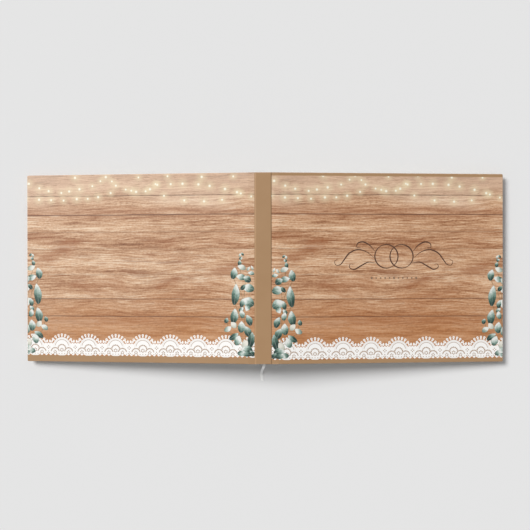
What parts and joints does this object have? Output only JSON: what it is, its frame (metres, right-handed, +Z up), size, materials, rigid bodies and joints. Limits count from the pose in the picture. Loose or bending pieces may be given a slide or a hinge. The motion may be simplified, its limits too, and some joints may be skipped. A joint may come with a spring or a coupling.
{
  "type": "wedding guest book",
  "caption": "Landscape hardcover guest book lying open and face down, with paper-wrapped boards, flexible joints, sewn pages in two closing halves, a turning leaf and a ribbon marker.",
  "frame": {"origin": "on the table, under the middle of the spine and at mid height of the cover", "axes": "+X from the spine to the front cover's fore edge, +Y towards the head of the book, +Z up"},
  "size_m": [0.5354, 0.2331, 0.0345],
  "materials": {
    "printed_paper": "warm wood-plank print with a satin laminate",
    "brown_paper": "plain tan-brown cover paper with a satin laminate",
    "page_paper": "uncoated off-white",
    "greyboard": "raw grey board",
    "kraft_lining": "brown kraft paper",
    "mull_gauze": "open starched gauze",
    "linen_thread": "waxed linen",
    "band_weave": "woven cotton with a bead",
    "white_satin": "satin ribbon"
  },
  "bodies": {
    "spine": {"spine_paper": "brown_paper", "spine_board": "greyboard", "spine_lining": "kraft_lining", "mull": "mull_gauze", "sewing_thread": "linen_thread", "sewn_back": "page_paper", "head_band": "band_weave", "tail_band": "band_weave", "ribbon_marker": "white_satin"},
    "front_joint": {"front_joint_cloth": "brown_paper"},
    "front_cover": {"front_cover_paper": "printed_paper", "front_board": "greyboard", "front_pastedown": "page_paper"},
    "front_pages": {"front_flyleaf": "page_paper", "signature_1": "page_paper", "signature_2": "page_paper", "signature_3": "page_paper", "signature_4": "page_paper"},
    "turning_leaf": {"turning_leaf": "page_paper"},
    "back_joint": {"back_joint_cloth": "brown_paper"},
    "back_cover": {"back_cover_paper": "printed_paper", "back_board": "greyboard", "back_pastedown": "page_paper"},
    "back_pages": {"back_flyleaf": "page_paper", "signature_5": "page_paper", "signature_6": "page_paper", "signature_7": "page_paper", "signature_8": "page_paper"}
  },
  "joints": [
    {"name": "front_pages_close", "type": "hinge", "parent": "spine", "child": "front_pages", "pos_m": [0.00595, 0, 0.03103], "axis": [0, 1, 0], "range_deg": [0, 84.3]},
    {"name": "front_joint_close", "type": "hinge", "parent": "spine", "child": "front_joint", "pos_m": [0.00895, 0, 0.03374], "axis": [0, 1, 0], "range_deg": [0, 84.3]},
    {"name": "front_cover_lift", "type": "hinge", "parent": "front_joint", "child": "front_cover", "pos_m": [0.01542, 0, 0.0331], "axis": [0, 1, 0], "range_deg": [-95.7, 0]},
    {"name": "back_pages_close", "type": "hinge", "parent": "spine", "child": "back_pages", "pos_m": [-0.00595, 0, 0.03103], "axis": [0, -1, 0], "range_deg": [0, 84.3]},
    {"name": "back_joint_close", "type": "hinge", "parent": "spine", "child": "back_joint", "pos_m": [-0.00895, 0, 0.03374], "axis": [0, -1, 0], "range_deg": [0, 84.3]},
    {"name": "back_cover_lift", "type": "hinge", "parent": "back_joint", "child": "back_cover", "pos_m": [-0.01542, 0, 0.0331], "axis": [0, -1, 0], "range_deg": [-95.7, 0]},
    {"name": "leaf_turn", "type": "hinge", "parent": "front_pages", "child": "turning_leaf", "pos_m": [0.0109, 0, 0.02485], "axis": [0, -1, 0], "range_deg": [-168.6, 0]}
  ],
  "couplings": [
    {"joint": "front_joint_close", "follows": "front_pages_close", "ratio": 1},
    {"joint": "back_joint_close", "follows": "back_pages_close", "ratio": 1}
  ]
}
